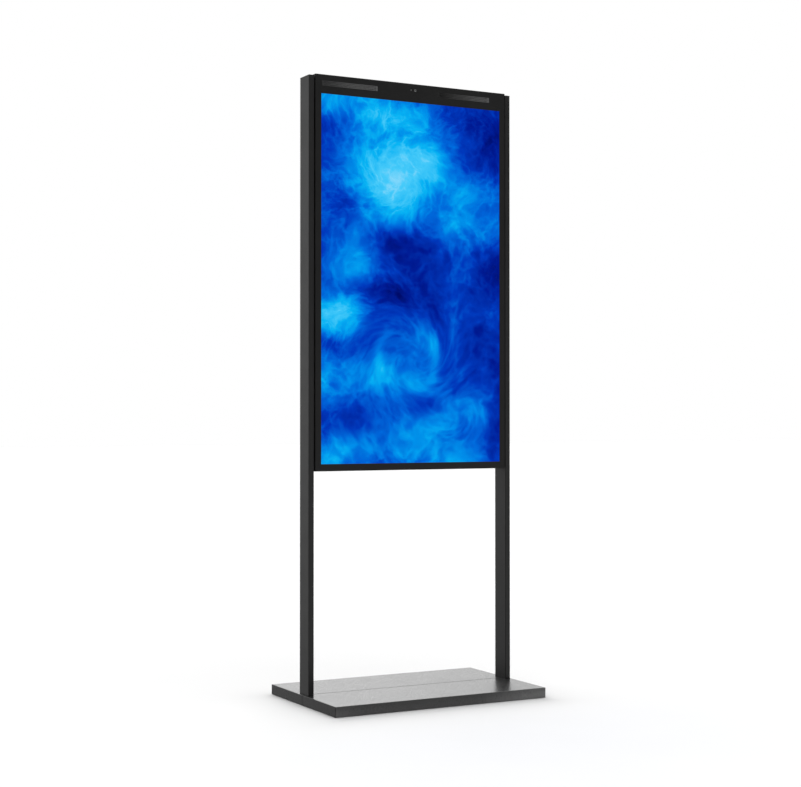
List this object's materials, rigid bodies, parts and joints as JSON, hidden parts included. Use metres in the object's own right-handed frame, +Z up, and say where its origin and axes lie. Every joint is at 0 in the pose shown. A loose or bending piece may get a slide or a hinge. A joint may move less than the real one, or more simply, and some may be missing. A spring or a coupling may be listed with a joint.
{
  "type": "touchscreen kiosk",
  "caption": "Free-standing portrait touchscreen held between slim dark uprights on a low flat steel base, with a lockable service door behind.",
  "frame": {"origin": "on the floor, under the middle of the base", "axes": "+Z up; the screen faces -Y; +X is on the right of someone looking at the screen"},
  "size_m": [0.781, 0.494, 2.057],
  "materials": {
    "upright_coat": "satin charcoal powder coat",
    "display_coat": "satin charcoal powder coat",
    "base_coat": "satin charcoal powder coat",
    "mild_steel": "plain mild steel",
    "zinc_plate": "bright zinc plate",
    "player_case": "dark anodised, finned",
    "supply_case": "plain sheet",
    "black_plastic": "moulded, fine grain",
    "rocker_plastic": "moulded, satin gloss",
    "black_rubber": "matt",
    "circuit_board": "green solder mask",
    "touch_glass": "clear toughened glass, gloss",
    "screen": "lit display picture, blue",
    "lens_glass": "smoked, gloss"
  },
  "bodies": {
    "kiosk": {"base_cover_front": "base_coat", "base_cover_rear": "base_coat", "base_pad_1": "black_rubber", "base_pad_2": "black_rubber", "base_pad_3": "black_rubber", "base_pad_4": "black_rubber", "base_plate": "mild_steel", "camera_module": "circuit_board", "camera_window": "lens_glass", "display_board": "circuit_board", "fan_frame_left": "black_plastic", "fan_frame_right": "black_plastic", "foot_bolt_left_front": "zinc_plate", "foot_bolt_left_rear": "zinc_plate", "foot_bolt_right_front": "zinc_plate", "foot_bolt_right_rear": "zinc_plate", "foot_bracket_left": "mild_steel", "foot_bracket_right": "mild_steel", "front_frame": "display_coat", "hinge_lower_fixed_leaf": "display_coat", "hinge_lower_pin": "zinc_plate", "hinge_upper_fixed_leaf": "display_coat", "hinge_upper_pin": "zinc_plate", "lcd_panel": "screen", "light_sensor": "lens_glass", "mains_inlet": "black_plastic", "media_player": "player_case", "mounting_plate": "mild_steel", "power_supply": "supply_case", "power_switch_body": "black_plastic", "rear_housing": "display_coat", "side_bolt_left_lower": "zinc_plate", "side_bolt_left_upper": "zinc_plate", "side_bolt_right_lower": "zinc_plate", "side_bolt_right_upper": "zinc_plate", "side_bracket_left_lower": "mild_steel", "side_bracket_left_upper": "mild_steel", "side_bracket_right_lower": "mild_steel", "side_bracket_right_upper": "mild_steel", "speaker_grille_left": "display_coat", "speaker_grille_right": "display_coat", "speaker_left": "black_plastic", "speaker_right": "black_plastic", "touch_controller": "circuit_board", "touch_glass": "touch_glass", "upright_cap_left": "upright_coat", "upright_cap_right": "upright_coat", "upright_left": "upright_coat", "upright_right": "upright_coat"},
    "service_door": {"service_door": "display_coat", "hinge_upper_door_leaf": "display_coat", "hinge_lower_door_leaf": "display_coat", "lock_body_upper": "zinc_plate", "lock_body_lower": "zinc_plate"},
    "upper_lock_cam": {"lock_cam_upper": "zinc_plate"},
    "lower_lock_cam": {"lock_cam_lower": "zinc_plate"},
    "power_rocker": {"power_rocker": "rocker_plastic"},
    "left_fan_rotor": {"fan_rotor_left": "rocker_plastic"},
    "right_fan_rotor": {"fan_rotor_right": "rocker_plastic"}
  },
  "joints": [
    {"name": "service_door_hinge", "type": "hinge", "parent": "kiosk", "child": "service_door", "pos_m": [-0.266, 0.0385, 1.16], "axis": [0, 0, 1], "range_deg": [0, 110]},
    {"name": "upper_lock_turn", "type": "hinge", "parent": "service_door", "child": "upper_lock_cam", "pos_m": [0.228, 0.0297, 1.34], "axis": [0, -1, 0], "range_deg": [0, 90]},
    {"name": "lower_lock_turn", "type": "hinge", "parent": "service_door", "child": "lower_lock_cam", "pos_m": [0.228, 0.0297, 0.98], "axis": [0, -1, 0], "range_deg": [0, 90]},
    {"name": "power_rocker_tilt", "type": "hinge", "parent": "kiosk", "child": "power_rocker", "pos_m": [0.026, 0.2425, 0.018], "axis": [0, 0, 1], "range_deg": [0, 16]},
    {"name": "left_fan_spin", "type": "hinge", "parent": "kiosk", "child": "left_fan_rotor", "pos_m": [-0.11, 0.0322, 1.88], "axis": [0, 1, 0], "continuous": true},
    {"name": "right_fan_spin", "type": "hinge", "parent": "kiosk", "child": "right_fan_rotor", "pos_m": [0.11, 0.0322, 1.88], "axis": [0, 1, 0], "continuous": true}
  ]
}
